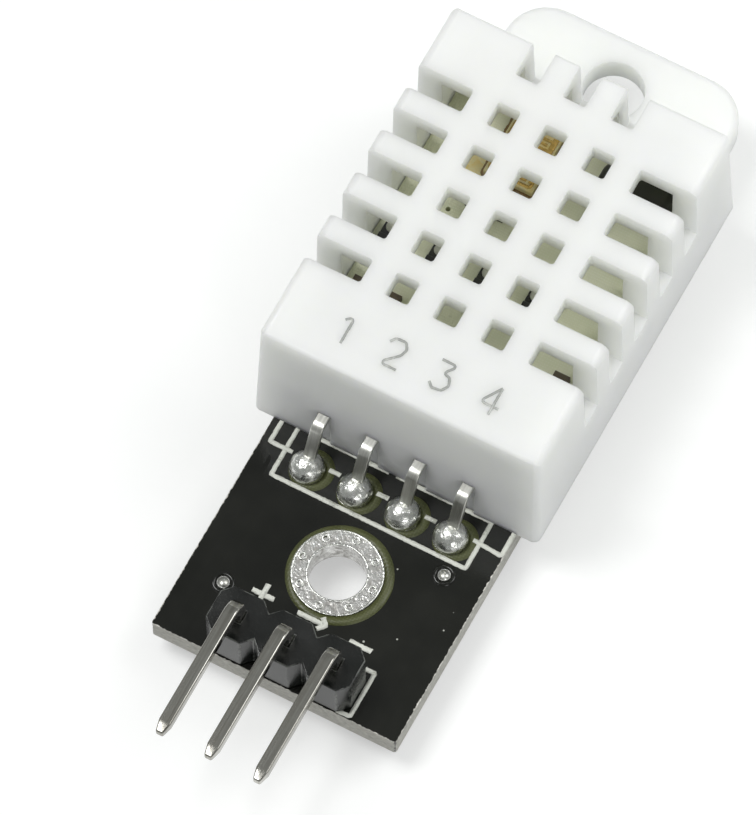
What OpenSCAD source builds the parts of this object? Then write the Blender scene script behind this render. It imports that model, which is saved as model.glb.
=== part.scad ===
// Temperature and humidity sensor on a small breakout board.
// Millimetres. The origin is the mounting hole's axis at the board's underside. X runs across the
// board, +Y from the header towards the sensor's ear, and +Z out of the board's upper face.

/* [Breakout board] */
// How far the housing stands out past the board's edge on each side
board_inset = 1.1; // [0.4:0.1:1.4]
// Length of the board
board_len = 28; // [26:0.5:32]
// Thickness of the board
board_t = 1.2; // [0.8:0.1:1.6]
// Corner radius of the board
board_corner_r = 0.15; // [0.05:0.05:0.6]
// From the mounting hole's axis to the board's front edge
hole_to_front = 6.3; // [5.8:0.1:8]
// From the mounting hole's axis to the row of sensor pads
hole_to_pads = 4.05; // [3.8:0.05:5]
// Thickness of the plated metal on pads and in small holes
plating_t = 0.05; // [0.04:0.01:0.08]

/* [Mounting hole] */
// Radius of the finished mounting hole
mount_hole_r = 1.4; // [1.1:0.05:1.5]
// Outer radius of the tinned ring round the mounting hole
mount_ring_r = 2.2; // [2.2:0.05:2.6]
// Thickness of the lining in the mounting hole
mount_lining_t = 0.2; // [0.18:0.01:0.22]
// Number of small holes stitched through the ring
stitch_count = 8; // [6:1:12]
// Radius of a stitching hole in the board
stitch_r = 0.17; // [0.13:0.01:0.2]

/* [Sensor housing] */
// Width of the housing
housing_w = 15.1; // [14.6:0.1:16.5]
// Length of the housing without its ear
housing_len = 20.1; // [19.9:0.1:22]
// Depth of the housing from its back to its grille
housing_h = 7.7; // [7:0.1:9]
// Radius of the housing's upright corners
housing_corner_r = 0.4; // [0.3:0.05:0.8]
// How far each side leans in from the back to the front
side_lean = 0.2; // [0.1:0.05:0.3]
// How far each end leans in from the back to the front
end_lean = 0.45; // [0.2:0.05:0.5]
// Radius of the front's long edges
side_edge_r = 0.5; // [0.2:0.05:0.6]
// Radius of the front's edges at both ends
end_edge_r = 0.2; // [0.1:0.05:0.4]
// Thickness of the side walls
side_wall = 1.45; // [1.3:0.05:1.6]
// Thickness of the end walls
end_wall = 1.3; // [1.2:0.05:1.6]
// Thickness of the grille wall
grille_wall = 1.1; // [0.8:0.1:1.5]
// Width of the inner shelf that the sensor's own board seats against
shelf_w = 0.35; // [0.25:0.05:0.5]
// From the row of pads to the housing's end face
pads_to_housing = 1.6; // [1.4:0.1:2.5]

/* [Grille] */
// Rows of vent holes
vent_rows = 5; // [3:1:5]
// Distance from one row of vent holes to the next
vent_pitch = 2.5; // [2.3:0.05:2.55]
// Height of a vent hole along the housing
vent_h = 1.3; // [1:0.05:1.5]
// Width of a square vent hole
vent_w = 1.2; // [0.9:0.05:1.4]
// Distance between neighbouring columns of vent holes
vent_column_pitch = 2.5; // [2.2:0.05:2.7]
// From the housing's end face to the first row of vent holes
first_vent = 4.87; // [4.5:0.05:5.1]
// From the centre line to the start of a side slot
side_slot_start = 4.4; // [4.2:0.05:4.8]
// Depth of the side slots and end notches below the front
slot_depth = 4; // [3.2:0.1:4]
// Length of the notches cut into the ear end
notch_len = 2.3; // [1.9:0.1:2.5]
// Corner radius inside the vent holes
vent_corner_r = 0.15; // [0.05:0.05:0.3]

/* [Ear] */
// Width of the ear
ear_w = 12.2; // [10:0.1:13.5]
// Length of the ear beyond the housing
ear_len = 4.7; // [4.4:0.1:7]
// Thickness of the ear
ear_t = 1.5; // [1:0.1:2.5]
// Corner radius of the ear
ear_corner_r = 2.2; // [1:0.1:3]
// Radius of the edge round the ear's front
ear_edge_r = 0.4; // [0.1:0.1:0.6]
// Radius of the hole in the ear
ear_hole_r = 1.5; // [1.1:0.05:1.6]
// From the housing to the axis of the ear's hole
ear_hole_offset = 1.9; // [1.8:0.1:2.6]

/* [Back cover] */
// Thickness of the back cover
cover_t = 1; // [0.7:0.1:1.2]
// Gap between the back cover and the housing
cover_gap = 0.06; // [0.04:0.01:0.12]
// Radius of the posts that carry the sensor's board
post_r = 0.5; // [0.35:0.05:0.6]

/* [Sensor board] */
// Height of the sensor board's underside above the housing's back
inner_board_z = 2.6; // [2.5:0.05:2.8]
// Thickness of the sensor's own board
inner_board_t = 0.8; // [0.5:0.05:0.85]
// Gap between the sensor's board and the walls round it
inner_board_gap = 0.1; // [0.05:0.01:0.15]
// Radius of the small hole drilled through the sensor's board
inner_via_r = 0.12; // [0.08:0.01:0.2]

/* [Humidity element] */
// Width of the amber carrier
carrier_w = 4.3; // [4:0.1:5]
// Length of the amber carrier
carrier_len = 2.2; // [1.8:0.1:2.4]
// Thickness of the amber carrier
carrier_t = 0.15; // [0.1:0.05:0.3]
// Width of the sensing chip
element_w = 2.6; // [2.2:0.1:3.2]
// Length of the sensing chip
element_len = 3.4; // [2.6:0.1:3.6]
// Thickness of the sensing chip
element_t = 0.45; // [0.3:0.05:0.7]
// Thickness of the comb electrodes
comb_t = 0.05; // [0.04:0.01:0.08]
// Width of one comb finger
finger_w = 0.14; // [0.1:0.01:0.16]
// Fingers on each comb
finger_count = 5; // [3:1:5]

/* [Sensor electronics] */
// Width of the thermistor bead
bead_w = 3.7; // [3:0.1:3.9]
// Length of the thermistor bead
bead_len = 2.2; // [1.6:0.1:2.4]
// Height of the thermistor bead
bead_h = 1.3; // [0.8:0.1:1.6]
// Width of the controller's body across its rows of leads
chip_w = 4.4; // [4:0.1:4.6]
// Length of the controller's body
chip_len = 5; // [4.8:0.1:5.6]
// Thickness of the controller's body
chip_t = 1; // [0.8:0.05:1.1]
// Leads on each side of the controller
chip_leads = 7; // [5:1:7]
// Distance between neighbouring controller leads
chip_lead_pitch = 0.65; // [0.55:0.01:0.68]

/* [Chip parts] */
// Length of a small chip part
small_chip_len = 1.6; // [1.2:0.1:1.8]
// Width of a small chip part
small_chip_w = 0.8; // [0.6:0.05:0.9]
// Height of a small chip part
small_chip_h = 0.45; // [0.3:0.05:0.6]
// Length of a large chip part
large_chip_len = 2; // [1.6:0.1:2.2]
// Width of a large chip part
large_chip_w = 1.25; // [1:0.05:1.4]
// Height of a large chip part
large_chip_h = 0.55; // [0.4:0.05:0.8]
// Distance between neighbouring resistors in the sensor
resistor_pitch = 2.55; // [2.2:0.05:2.6]

/* [Sensor pins] */
// Distance between neighbouring sensor pins
pin_pitch = 2.54; // [2.3:0.01:2.54]
// Width of a flat sensor pin
flat_pin_w = 0.6; // [0.45:0.05:0.65]
// Thickness of a flat sensor pin
flat_pin_t = 0.3; // [0.2:0.05:0.35]
// Inner radius of the sensor pin's bend
flat_bend_r = 0.3; // [0.2:0.05:0.4]
// Gap between a sensor pin and the slot it leaves through
pin_slot_gap = 0.05; // [0.03:0.01:0.1]
// Length of a sensor pin inside the housing, past the end wall's shelf
flat_pin_inner = 2.6; // [2:0.1:3]
// Length of a sensor pin below the board
flat_pin_tail = 0.75; // [0.5:0.05:0.8]
// Outer radius of a sensor pad
sensor_pad_r = 0.85; // [0.75:0.05:1]
// Drilled radius at a sensor pad
sensor_drill_r = 0.48; // [0.46:0.01:0.6]
// Height of the solder dome above the board
dome_h = 0.85; // [0.6:0.05:1]

/* [Pin header] */
// Distance between neighbouring header pins
header_pitch = 2.54; // [2.3:0.01:2.6]
// Depth of the header's plastic from front to back
header_d = 2.5; // [2.2:0.05:2.6]
// Height of the header's plastic
header_h = 2.5; // [2:0.1:2.8]
// Chamfer on the corners of each header block
header_chamfer = 0.5; // [0.3:0.05:0.6]
// From the board's front edge to the header's plastic
header_setback = 0.06; // [0:0.02:0.3]
// Width of a square header pin
header_pin_w = 0.64; // [0.5:0.01:0.64]
// Height of the free pins' axis above the board's upper face
header_pin_z = 3.9; // [3.7:0.1:4.4]
// Length of the free pins from the upright pins' axis to their tips
header_pin_reach = 7.45; // [6:0.05:9]
// Inner radius of the header pin's bend
header_bend_r = 0.45; // [0.3:0.05:0.6]
// Length of a header pin's tapered tip
header_tip_len = 0.6; // [0.4:0.05:1]
// Length of a header pin below the board
header_tail = 1.3; // [1.1:0.05:1.8]
// Outer radius of a header pad
header_pad_r = 0.85; // [0.75:0.05:1]
// Drilled radius at a header pad
header_drill_r = 0.56; // [0.52:0.01:0.62]
// Height of a solder cone below the board
cone_h = 0.95; // [0.7:0.05:1]

/* [Hidden] */
$fn = 48;

// Overrun of a cutting shape past the face it cuts
over = 1;

board_w = housing_w - 2 * board_inset;

// Where the sensor stands on the board
sensor_y = hole_to_pads + pads_to_housing;
sensor_pin_x = [for (i = [0 : 3]) (i - 1.5) * pin_pitch];
column_x = [for (i = [-1 : 1]) i * vent_column_pitch];

// Levels inside the housing, above its back face
shelf_z = inner_board_z + inner_board_t;
grille_z = housing_h - grille_wall;
slot_floor = housing_h - slot_depth;
flat_pin_z = inner_board_z - flat_pin_t / 2;

// Lower pocket of the housing, which takes the sensor's board and the back cover
pocket_w = housing_w - 2 * side_wall + 2 * shelf_w;
pocket_y = end_wall - shelf_w;
pocket_len = housing_len - 2 * pocket_y;
pocket_corner_r = 0.3;

// Posts of the back cover
post_side_gap = 0.15;
post_end_gap = 0.25;
post_x = pocket_w / 2 - cover_gap - post_r - post_side_gap;
post_y = [pocket_y + cover_gap + post_r + post_end_gap,
  pocket_y + pocket_len - cover_gap - post_r - post_end_gap];

// Sensor pin: it leaves the housing level, bends down and leans to the pad row
flat_pin_end = pocket_y + flat_pin_inner;
flat_bend_mid = flat_bend_r + flat_pin_t / 2;
flat_bend_y = -0.2;
flat_lean = 75;
flat_foot_z = 0.1;
blob_r = 0.6;

// Humidity element and thermistor bead, both set back from the wall at the ear end
parts_end_gap = 1.13;
parts_end_y = housing_len - end_wall - parts_end_gap;
element_x = -1.63;
element_y = parts_end_y - element_len / 2;
carrier_x = -1.9;
carrier_back = 0.85;
carrier_y = element_y - carrier_back;
finger_gap = 0.12;
comb_margin = 0.2;

// Chip parts on the sensor's board
resistors_before_middle = 0.33;
resistor_row_y = housing_len / 2 - resistors_before_middle;
resistor_wall_gap = 0.345;
resistor_row_x = -housing_w / 2 + side_wall + resistor_wall_gap + small_chip_w / 2
  + 1.5 * resistor_pitch;
element_to_bias = 2.85;
bias_x = -1.95;
bias_y = element_y - element_to_bias;
capacitors_past_row = 1.1;
capacitor_y = first_vent + capacitors_past_row;
capacitor_wall_gap = 0.4;
capacitor_step = 1.7;
capacitor_edge_x = housing_w / 2 - side_wall - capacitor_wall_gap - small_chip_w / 2;
capacitor_x = [-capacitor_edge_x, -capacitor_edge_x + capacitor_step, capacitor_edge_x];
inner_via_before_row = 0.4;
inner_via_x = -3.55;
inner_via_y = first_vent + 3 * vent_pitch - inner_via_before_row;

// Thermistor bead close to the side wall
bead_wall_gap = 0.3;
bead_x = housing_w / 2 - side_wall - bead_wall_gap - bead_w / 2;
bead_y = parts_end_y - bead_len / 2;
bead_edge_r = 0.45;

// Controller on the underside of the sensor's board
chip_past_middle = 0.6;
chip_y = housing_len / 2 + chip_past_middle;
chip_standoff = 0.1;
chip_draft = 0.15;
lead_t = 0.14;
lead_w = 0.24;
lead_foot = 0.55;
lead_reach = 1;

// Header row at the front edge of the board
header_y = -hole_to_front + header_setback + header_d / 2;
header_pin_x = [for (i = [-1 : 1]) i * header_pitch];
header_base_z = board_t + plating_t;
header_bend_mid = header_bend_r + header_pin_w / 2;
header_tip_w = 0.38;

// Stitching holes, in the part of the ring outside the lining, and the two lone vias
stitch_to_lining = 0.25;
stitch_circle_r = mount_hole_r + mount_lining_t + stitch_to_lining;
via_r = 0.2;
via_ring_r = 0.3;
dimple_rim = 0.05;
dimple_depth = 0.06;
via_xy = [[-4.48, -2.91], [4.44, 2.25]];

// Chip parts under the board, between the sensor pads and the board's far end
pads_to_under_chips = 4.6;
under_chip_y = hole_to_pads + pads_to_under_chips;
under_chip_pitch = 5.2;
under_chip_x = [-under_chip_pitch / 2, under_chip_pitch / 2];
under_pad_len = 0.75;
under_pad_w = 1;
under_pad_gap = 0.9;

// Outline with rounded corners, centred on X, from y = 0 to y = l
module rounded_outline(w, l, r) {
  translate([-w / 2 + r, 0]) square([w - 2 * r, l]);
  translate([-w / 2, r]) square([w, l - 2 * r]);
  for (x = [-w / 2 + r, w / 2 - r])
    for (y = [r, l - r])
      translate([x, y]) circle(r = r);
}

// Section from s0 to s1, h high, with its two upper corners rounded by f
module soft_top_section(s0, s1, h, f) {
  translate([s0, 0]) square([s1 - s0, h - f]);
  translate([s0 + f, 0]) square([s1 - s0 - 2 * f, h]);
  for (s = [s0 + f, s1 - f]) translate([s, h - f]) circle(r = f);
}

// Block with rounded upright corners r and a rounded upper edge f, from y = 0 to y = l
module soft_top_block(w, l, h, r, f) {
  translate([-w / 2 + r, 0, 0])
    rotate([90, 0, 90]) linear_extrude(w - 2 * r) soft_top_section(0, l, h, f);
  translate([0, l - r, 0])
    rotate([90, 0, 0]) linear_extrude(l - 2 * r) soft_top_section(-w / 2, w / 2, h, f);
  for (x = [-w / 2 + r, w / 2 - r])
    for (y = [r, l - r])
      translate([x, y, 0]) rotate_extrude() intersection() {
        soft_top_section(-r, r, h, f);
        square([r, h]);
      }
}

// A rounding sits this share of its radius behind the faces it joins, and they trim it
round_set = 0.99;

// Section from s0 to s1 at z = 0, drawn from z0 to z1, whose sides lean in by slope and whose
// upper corners are rounded by f
module leaning_section(s0, s1, z0, z1, slope, f) {
  inset = slope * (z1 - f) + f * round_set * norm([1, slope]);
  intersection() {
    polygon([[s0 + slope * z0, z0], [s1 - slope * z0, z0], [s1 - slope * z1, z1],
      [s0 + slope * z1, z1]]);
    union() {
      translate([s0 - over, z0 - over]) square([s1 - s0 + 2 * over, z1 - f - z0 + over]);
      translate([s0 + inset, z0 - over]) square([s1 - s0 - 2 * inset, z1 - z0 + over]);
      for (s = [s0 + inset, s1 - inset]) translate([s, z1 - f]) circle(r = f);
    }
  }
}

// Prism along Y whose sides lean in by slope from s0 and s1 at z = 0
module leaning_slab(s0, s1, h, slope, length) {
  rotate([90, 0, 0]) translate([0, 0, -length / 2]) linear_extrude(length)
    polygon([[s0 - slope * h, -h], [s1 + slope * h, -h], [s1 - 2 * slope * h, 2 * h],
      [s0 + 2 * slope * h, 2 * h]]);
}

// Block whose sides and ends lean in towards its front, with rounded edges and upright corners
module leaning_block(w, l, h) {
  r = housing_corner_r;
  side_slope = side_lean / h;
  end_slope = end_lean / h;
  in_x = r * round_set * norm([1, side_slope]);
  in_y = r * round_set * norm([1, end_slope]);
  rise = side_edge_r * (1 - round_set);
  intersection() {
    translate([-w / 2 - over, 0, 0]) rotate([90, 0, 90]) linear_extrude(w + 2 * over)
      leaning_section(0, l, 0, h, end_slope, end_edge_r);
    translate([0, l + over, 0]) rotate([90, 0, 0]) linear_extrude(l + 2 * over)
      leaning_section(-w / 2, w / 2, -over, h + rise, side_slope, side_edge_r);
    union() {
      leaning_slab(-w / 2 + in_x, w / 2 - in_x, h, side_slope, 4 * l);
      rotate(90) leaning_slab(in_y, l - in_y, h, end_slope, 4 * w);
      for (sx = [-1, 1])
        for (sy = [-1, 1])
          translate([sx * (w / 2 - in_x), l / 2 + sy * (l / 2 - in_y), 0])
            rotate(atan2(-sy * end_slope, -sx * side_slope))
              rotate([0, atan(norm([side_slope, end_slope])), 0])
                translate([0, 0, -h]) cylinder(r = r, h = 3 * h);
    }
  }
}

// Points of an arc round c from angle a0 to a1, both ends included
function arc_points(c, r, a0, a1, n = 8) =
  [for (i = [0 : n]) let (a = a0 + (a1 - a0) * i / n) [c[0] + r * cos(a), c[1] + r * sin(a)]];

// Unit direction from a to b
function heading(a, b) = (b - a) / norm(b - a);

// Sideways offset at point i of a path, mitred so that the strip keeps its thickness
function side_step(path, i) =
  let (last = len(path) - 1,
       before = heading(path[max(i - 1, 0)], path[max(i, 1)]),
       after = heading(path[min(i, last - 1)], path[min(i + 1, last)]),
       mid = (before + after) / norm(before + after),
       stretch = 1 / (mid * after))
    [-mid[1], mid[0]] * stretch;

// Strip of thickness t along a path in the plane
module strip_outline(path, t) {
  last = len(path) - 1;
  polygon(concat(
    [for (i = [0 : last]) path[i] + side_step(path, i) * t / 2],
    [for (i = [last : -1 : 0]) path[i] - side_step(path, i) * t / 2]));
}

// Turns an outline drawn in Y and Z into a body of width w, centred on X
module across(w) {
  translate([-w / 2, 0, 0]) rotate([90, 0, 90]) linear_extrude(w) children();
}

// Moves a shape to the housing's own frame: its end face at y = 0, its back at z = 0
module at_sensor() {
  translate([0, sensor_y, board_t]) children();
}

// Ring on both faces of the board with a metal lining in the hole between them
module eyelet(hole_r, ring_r, lining_t = plating_t) {
  rotate_extrude() {
    translate([hole_r, -plating_t]) square([ring_r - hole_r, plating_t]);
    translate([hole_r, board_t]) square([ring_r - hole_r, plating_t]);
    translate([hole_r, -plating_t]) square([lining_t, board_t + 2 * plating_t]);
  }
}

// Chip part lying on z = 0, along Y, with a cap round each end
module chip_part(l, w, h) {
  cap_len = l / 5;
  cap_skin = 0.03;
  translate([-w / 2 + cap_skin, -l / 2 + cap_skin, cap_skin])
    cube([w - 2 * cap_skin, l - 2 * cap_skin, h - 2 * cap_skin]);
  for (y = [-l / 2, l / 2 - cap_len]) translate([-w / 2, y, 0]) cube([w, cap_len, h]);
}

// Body with sides that draft in above and below its middle
module drafted_body(w, l, h, draft) {
  intersection() {
    translate([0, l / 2, 0]) rotate([90, 0, 0]) linear_extrude(l) drafted_section(w, h, draft);
    rotate([90, 0, 90]) translate([0, 0, -w / 2]) linear_extrude(w) drafted_section(l, h, draft);
  }
}

module drafted_section(w, h, draft) {
  polygon([[-w / 2 + draft, 0], [w / 2 - draft, 0], [w / 2, h / 2], [w / 2 - draft, h],
    [-w / 2 + draft, h], [-w / 2, h / 2]]);
}

// Cuts through the grille: square holes, open side slots and open end notches
module vent_cuts() {
  for (row = [0 : vent_rows - 1])
    translate([0, first_vent + row * vent_pitch, slot_floor]) {
      for (x = column_x)
        translate([x, 0, 0]) linear_extrude(slot_depth + over)
          rounded_outline(vent_w, vent_h, vent_corner_r);
      for (side = [-1, 1])
        translate([side * (side_slot_start + housing_w / 2), 0, 0]) linear_extrude(slot_depth + over)
          rounded_outline(housing_w, vent_h, vent_corner_r);
    }
  for (x = column_x)
    translate([x, housing_len - notch_len, slot_floor]) linear_extrude(slot_depth + over)
      rounded_outline(vent_w, notch_len + ear_len, vent_corner_r);
}

// Slots in the end wall that the pins leave through, open at the back
module pin_slots() {
  slot_w = flat_pin_w + 2 * pin_slot_gap;
  for (x = sensor_pin_x)
    translate([x - slot_w / 2, -over, -over])
      cube([slot_w, over + pocket_y + over, over + inner_board_z]);
}

module vented_housing() color("#f2f5ee") at_sensor() difference() {
  union() {
    leaning_block(housing_w, housing_len, housing_h);
    translate([0, housing_len - ear_corner_r - ear_edge_r, 0])
      soft_top_block(ear_w, ear_corner_r + ear_edge_r + ear_len, ear_t, ear_corner_r, ear_edge_r);
  }
  // Air space behind the grille
  translate([-housing_w / 2 + side_wall, end_wall, shelf_z - over])
    cube([housing_w - 2 * side_wall, housing_len - 2 * end_wall, grille_z - shelf_z + over]);
  translate([0, pocket_y, -over]) linear_extrude(shelf_z + over)
    rounded_outline(pocket_w, pocket_len, pocket_corner_r);
  vent_cuts();
  pin_slots();
  translate([0, housing_len + ear_hole_offset, -over]) cylinder(r = ear_hole_r, h = ear_t + 2 * over);
}

module back_cover() color("#e9ece4") at_sensor() {
  tooth_w = flat_pin_w + 2 * pin_slot_gap - 2 * cover_gap;
  tooth_recess = 0.15;
  translate([0, pocket_y + cover_gap, 0]) linear_extrude(cover_t)
    rounded_outline(pocket_w - 2 * cover_gap, pocket_len - 2 * cover_gap, pocket_corner_r);
  for (x = sensor_pin_x)
    translate([x - tooth_w / 2, tooth_recess, 0])
      cube([tooth_w, pocket_y + over - tooth_recess, inner_board_z - flat_pin_t]);
  for (side = [-1, 1])
    for (y = post_y)
      translate([side * post_x, y, 0]) cylinder(r = post_r, h = inner_board_z);
}

module sensor_board() color("#a7a883") at_sensor() difference() {
  translate([0, pocket_y + inner_board_gap, inner_board_z]) linear_extrude(inner_board_t)
    rounded_outline(pocket_w - 2 * inner_board_gap, pocket_len - 2 * inner_board_gap,
      pocket_corner_r);
  translate([inner_via_x, inner_via_y, 0]) cylinder(r = inner_via_r, h = housing_h);
}

module element_carrier() color("#a8903a") at_sensor()
  translate([carrier_x, carrier_y, shelf_z]) linear_extrude(carrier_t)
    translate([0, -carrier_len / 2]) rounded_outline(carrier_w, carrier_len, 0.2);

// The chip rides on the carrier and steps down to the board beyond it
module humidity_element() color("#c09a3c") at_sensor() difference() {
  translate([element_x - element_w / 2, element_y - element_len / 2, shelf_z])
    cube([element_w, element_len, carrier_t + element_t]);
  translate([carrier_x, carrier_y - carrier_len / 2, 0]) linear_extrude(shelf_z + carrier_t)
    rounded_outline(carrier_w, carrier_len, 0.2);
}

// Two combs whose fingers interleave on the chip's face
module electrode_combs() color("#6b4d14") at_sensor() {
  rail_w = 0.2;
  field_w = element_w - 2 * comb_margin;
  step = 2 * (finger_w + finger_gap);
  finger_len = field_w - rail_w - finger_gap;
  comb_len = finger_count * step;
  translate([element_x, element_y - comb_len / 2, shelf_z + carrier_t + element_t])
    for (side = [-1, 1]) {
      rail_x = side < 0 ? -field_w / 2 : field_w / 2 - rail_w;
      finger_x = side < 0 ? -field_w / 2 : field_w / 2 - finger_len;
      shift = side < 0 ? 0 : step / 2;
      translate([rail_x, 0, 0]) cube([rail_w, comb_len, comb_t]);
      for (i = [0 : finger_count - 1])
        translate([finger_x, shift + i * step, 0]) cube([finger_len, finger_w, comb_t]);
    }
}

module thermistor() color("#26241c") at_sensor()
  translate([bead_x, bead_y - bead_len / 2, shelf_z])
    soft_top_block(bead_w, bead_len, bead_h, bead_len / 2 - 0.2, bead_edge_r);

// Local frame of the controller: z = 0 on the board's underside and rising away from it
module at_controller() {
  at_sensor() translate([0, chip_y, inner_board_z]) mirror([0, 0, 1]) children();
}

module controller_chip() color("#232323") at_controller()
  translate([0, 0, chip_standoff]) drafted_body(chip_w, chip_len, chip_t, chip_draft);

module controller_leads() color("#c9c9c4") at_controller() {
  knee_z = chip_standoff + chip_t / 2;
  tip_x = chip_w / 2 + lead_reach;
  path = [[chip_w / 2, knee_z], [chip_w / 2 + 0.22, knee_z], [tip_x - lead_foot, lead_t / 2],
    [tip_x, lead_t / 2]];
  for (side = [0, 180])
    rotate(side)
      for (i = [0 : chip_leads - 1])
        translate([0, (i - (chip_leads - 1) / 2) * chip_lead_pitch + lead_w / 2, 0])
          rotate([90, 0, 0]) linear_extrude(lead_w) strip_outline(path, lead_t);
}

module inner_resistors() color("#1d1d1b") at_sensor()
  for (i = [-1.5 : 1.5])
    translate([resistor_row_x + i * resistor_pitch, resistor_row_y, shelf_z])
      chip_part(small_chip_len, small_chip_w, small_chip_h);

module bias_resistor() color("#1d1d1b") at_sensor()
  translate([bias_x, bias_y, shelf_z]) rotate(90)
    chip_part(large_chip_len, large_chip_w, large_chip_h);

module inner_capacitors() color("#8a7050") at_sensor()
  for (x = capacitor_x)
    translate([x, capacitor_y, shelf_z]) chip_part(small_chip_len, small_chip_w, small_chip_h);

// Sensor pin k in its place, with its width grown by extra for cutting
module sensor_pin_shape(k) {
  bend_c = [flat_bend_y, flat_pin_z - flat_bend_mid];
  bend = arc_points(bend_c, flat_bend_mid, 90, 90 + flat_lean);
  bend_end = bend[len(bend) - 1];
  foot_y = -pads_to_housing;
  path = concat([[flat_pin_end, flat_pin_z]], bend,
    [[foot_y, flat_foot_z], [foot_y, -board_t - flat_pin_tail]]);
  at_sensor() translate([sensor_pin_x[k], 0, 0]) across(flat_pin_w) strip_outline(path, flat_pin_t);
}

module sensor_pin(k) color("#b9bab4") sensor_pin_shape(k);

// Solder under the sensor's board at the inner end of each pin
module inner_pin_solder() color("#c4c5c0") difference() {
  at_sensor()
    for (x = sensor_pin_x)
      translate([x, flat_pin_end - blob_r * 0.8, inner_board_z]) difference() {
        sphere(r = blob_r);
        cylinder(r = 2 * blob_r, h = 2 * blob_r);
      }
  for (k = [0 : 3]) sensor_pin_shape(k);
}

module breakout_board() color("#232521") difference() {
  translate([0, -hole_to_front, 0]) linear_extrude(board_t)
    rounded_outline(board_w, board_len, board_corner_r);
  board_drill([[0, 0]], mount_hole_r + mount_lining_t);
  board_drill(stitch_places(), stitch_r);
  board_drill([for (x = sensor_pin_x) [x, hole_to_pads]], sensor_drill_r);
  board_drill([for (x = header_pin_x) [x, header_y]], header_drill_r);
  board_drill(via_xy, via_r);
}

function stitch_places() = [for (i = [0 : stitch_count - 1])
  let (a = i * 360 / stitch_count) [stitch_circle_r * cos(a), stitch_circle_r * sin(a)]];

module board_drill(places, r) {
  for (p = places) translate([p[0], p[1], -over]) cylinder(r = r, h = board_t + 2 * over, $fn = 32);
}

// Metal that fills the small holes of a ring, with a dimple on each face
module filled_holes(places, r) difference() {
  union() {
    children();
    for (p = places)
      translate([p[0], p[1], -plating_t / 2]) cylinder(r = r, h = board_t + plating_t, $fn = 32);
  }
  for (p = places, z = [-plating_t, board_t + plating_t])
    translate([p[0], p[1], z - dimple_depth])
      cylinder(r = r - dimple_rim, h = 2 * dimple_depth, $fn = 32);
}

// Tinned ring and lining of the mounting hole, with its filled stitching holes
module hole_plating() color("#c8c9c2") filled_holes(stitch_places(), stitch_r)
  eyelet(mount_hole_r, mount_ring_r, mount_lining_t);

module sensor_pads() color("#c8c9c2")
  for (x = sensor_pin_x)
    translate([x, hole_to_pads, 0]) eyelet(sensor_drill_r - plating_t, sensor_pad_r);

// Domes above the board, filled holes and low cones below it, one solid for each pin
module sensor_pin_solder() color("#d0d1cb") difference() {
  low_cone_h = flat_pin_tail - 0.15;
  for (x = sensor_pin_x)
    translate([x, hole_to_pads, 0]) rotate_extrude() {
      intersection() {
        translate([0, board_t + plating_t]) square([sensor_pad_r, dome_h]);
        translate([0, board_t + plating_t + 0.1]) circle(r = sensor_pad_r - 0.02);
      }
      translate([0, -plating_t]) square([sensor_drill_r - plating_t, board_t + 2 * plating_t]);
      polygon([[0, -plating_t], [sensor_pad_r - 0.1, -plating_t], [0.4, -0.5 * low_cone_h],
        [0.3, -low_cone_h], [0, -low_cone_h]]);
    }
  for (k = [0 : 3]) sensor_pin_shape(k);
}

module board_vias() color("#b8b9ae") filled_holes(via_xy, via_r)
  for (p = via_xy) translate([p[0], p[1], 0]) eyelet(via_r - plating_t, via_ring_r);

// Three joined blocks with chamfered corners and a square hole for each pin
module header_base() color("#1b1c1b") difference() {
  half = header_pitch / 2;
  depth = header_d / 2;
  c = header_chamfer;
  for (x = header_pin_x)
    translate([x, header_y, header_base_z]) linear_extrude(header_h)
      polygon([[-half, -depth + c], [-half + c, -depth], [half - c, -depth], [half, -depth + c],
        [half, depth - c], [half - c, depth], [-half + c, depth], [-half, depth - c]]);
  for (k = [0 : 2]) header_pin_shape(k);
}

// Square pin bent through a right angle, with both ends tapered
module header_pin_shape(k) {
  axis_z = board_t + header_pin_z;
  tip_y = header_y - header_pin_reach;
  bend_c = [header_y - header_bend_mid, axis_z - header_bend_mid];
  path = concat([[header_y, -header_tail]], arc_points(bend_c, header_bend_mid, 0, 90),
    [[tip_y, axis_z]]);
  half = header_pin_w / 2;
  half_tip = header_tip_w / 2;
  plan_y = header_y + over;
  translate([header_pin_x[k], 0, 0]) intersection() {
    across(header_pin_w) difference() {
      strip_outline(path, header_pin_w);
      for (s = [-1, 1])
        translate([tip_y, axis_z]) polygon([[-over, s * half_tip], [0, s * half_tip],
          [header_tip_len, s * half], [header_tip_len, s * (half + over)], [-over, s * (half + over)]]);
    }
    translate([0, 0, -header_tail - over]) linear_extrude(axis_z + header_tail + 2 * over)
      polygon([[-half_tip, tip_y], [half_tip, tip_y], [half, tip_y + header_tip_len],
        [half, plan_y], [-half, plan_y], [-half, tip_y + header_tip_len]]);
  }
}

module header_pin(k) color("#b4b4a8") header_pin_shape(k);

module header_pads() color("#c8c9c2")
  for (x = header_pin_x)
    translate([x, header_y, 0]) eyelet(header_drill_r - plating_t, header_pad_r);

// Filled holes and cones below the board, one solid for each pin
module header_solder() color("#d0d1cb") difference() {
  for (x = header_pin_x)
    translate([x, header_y, 0]) rotate_extrude() {
      translate([0, -plating_t]) square([header_drill_r - plating_t, board_t + 2 * plating_t]);
      polygon([[0, -plating_t], [header_pad_r - 0.08, -plating_t], [0.58, -0.4 * cone_h],
        [0.48, -cone_h], [0, -cone_h]]);
    }
  for (k = [0 : 2]) header_pin_shape(k);
}

module chip_pads() color("#c8c9c2")
  for (x = under_chip_x)
    for (side = [-1, 1])
      translate([x - under_pad_w / 2, under_chip_y + side * (under_pad_gap + under_pad_len) / 2
        - under_pad_len / 2, -plating_t])
        cube([under_pad_w, under_pad_len, plating_t]);

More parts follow.
